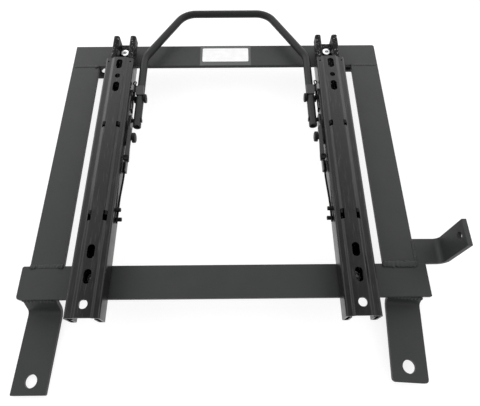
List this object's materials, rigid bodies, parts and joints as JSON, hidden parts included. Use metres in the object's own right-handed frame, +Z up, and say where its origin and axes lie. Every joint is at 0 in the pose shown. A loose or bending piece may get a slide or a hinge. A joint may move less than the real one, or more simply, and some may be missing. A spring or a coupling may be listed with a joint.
{
  "type": "sliding seat bracket",
  "caption": "Welded flat-bar seat base with two sliding seat rails, a bent release bar, four bent feet and an upright belt tab.",
  "frame": {"origin": "on the floor plane of the lowest feet, under the middle of the whole bracket's outline", "axes": "+X to the right as seen in the picture, +Y towards the release handle (front of the seat), +Z up"},
  "size_m": [0.4912, 0.5314, 0.095],
  "materials": {
    "frame_coat": "satin powder coat, dark grey",
    "rail_coat": "satin black electro-coat",
    "bracket_coat": "satin black",
    "lever_coat": "satin black",
    "handle_coat": "satin black powder coat",
    "zinc": "bright zinc plate",
    "spacer": "black",
    "black_oxide": "black oxide",
    "spring_wire": "oiled black wire",
    "bearing_steel": "polished",
    "retainer": "natural nylon",
    "roller": "black nylon",
    "label_white": "matt white, blank",
    "label_film": "thin film"
  },
  "bodies": {
    "base": {"front_crossbar": "frame_coat", "rear_crossbar": "frame_coat", "side_bar_left": "frame_coat", "side_bar_right": "frame_coat", "rear_leg_left": "frame_coat", "rear_leg_right": "frame_coat", "front_foot_left": "frame_coat", "front_foot_right": "frame_coat", "belt_tab": "frame_coat", "weld_beads": "frame_coat", "lower_rail_left": "rail_coat", "lower_rail_right": "rail_coat", "rail_screws": "zinc", "rail_nuts": "zinc", "rail_spacers": "spacer", "label_plate": "label_white", "label_film": "label_film"},
    "carriage_left": {"upper_rail_left": "rail_coat", "lever_bracket_left": "bracket_coat", "bracket_rivets_left": "black_oxide", "handle_bolt_left": "black_oxide", "lever_stud_left": "black_oxide", "anchor_pins_left": "black_oxide", "wire_spring_left": "spring_wire", "return_spring_left": "spring_wire"},
    "lever_left": {"lock_lever_left": "lever_coat", "lever_pin_left": "black_oxide", "stop_screw_left": "black_oxide"},
    "cage_left": {"bearing_balls_left": "bearing_steel", "ball_retainers_left": "retainer", "rollers_left": "roller"},
    "carriage_right": {"upper_rail_right": "rail_coat", "lever_bracket_right": "bracket_coat", "bracket_rivets_right": "black_oxide", "handle_bolt_right": "black_oxide", "lever_stud_right": "black_oxide", "anchor_pins_right": "black_oxide", "wire_spring_right": "spring_wire", "return_spring_right": "spring_wire"},
    "lever_right": {"lock_lever_right": "lever_coat", "lever_pin_right": "black_oxide", "stop_screw_right": "black_oxide"},
    "cage_right": {"bearing_balls_right": "bearing_steel", "ball_retainers_right": "retainer", "rollers_right": "roller"},
    "handle": {"handle_bar": "handle_coat", "spring_tab_left": "lever_coat", "spring_tab_right": "lever_coat"}
  },
  "joints": [
    {"name": "slide_left", "type": "slide", "parent": "base", "child": "carriage_left", "axis": [0, 1, 0], "range_m": [-0.04, 0.11]},
    {"name": "slide_right", "type": "slide", "parent": "base", "child": "carriage_right", "axis": [0, 1, 0], "range_m": [-0.04, 0.11]},
    {"name": "handle_lift", "type": "hinge", "parent": "carriage_left", "child": "handle", "pos_m": [-0.13865, 0.09935, 0.051], "axis": [1, 0, 0], "range_deg": [0, 8], "deforming": ["return_spring_left", "return_spring_right"]},
    {"name": "lever_left_turn", "type": "hinge", "parent": "carriage_left", "child": "lever_left", "pos_m": [-0.13625, 0.03585, 0.051], "axis": [1, 0, 0], "range_deg": [-11, 0], "deforming": ["wire_spring_left"]},
    {"name": "lever_right_turn", "type": "hinge", "parent": "carriage_right", "child": "lever_right", "pos_m": [0.11095, 0.03585, 0.051], "axis": [1, 0, 0], "range_deg": [-11, 0], "deforming": ["wire_spring_right"]},
    {"name": "cage_left_slide", "type": "slide", "parent": "base", "child": "cage_left", "axis": [0, 1, 0], "range_m": [-0.02, 0.055]},
    {"name": "cage_right_slide", "type": "slide", "parent": "base", "child": "cage_right", "axis": [0, 1, 0], "range_m": [-0.02, 0.055]}
  ],
  "couplings": [
    {"joint": "slide_right", "follows": "slide_left", "ratio": 1},
    {"joint": "cage_left_slide", "follows": "slide_left", "ratio": 0.5},
    {"joint": "cage_right_slide", "follows": "slide_left", "ratio": 0.5},
    {"joint": "lever_left_turn", "follows": "handle_lift", "ratio": -1.35},
    {"joint": "lever_right_turn", "follows": "handle_lift", "ratio": -1.35}
  ]
}
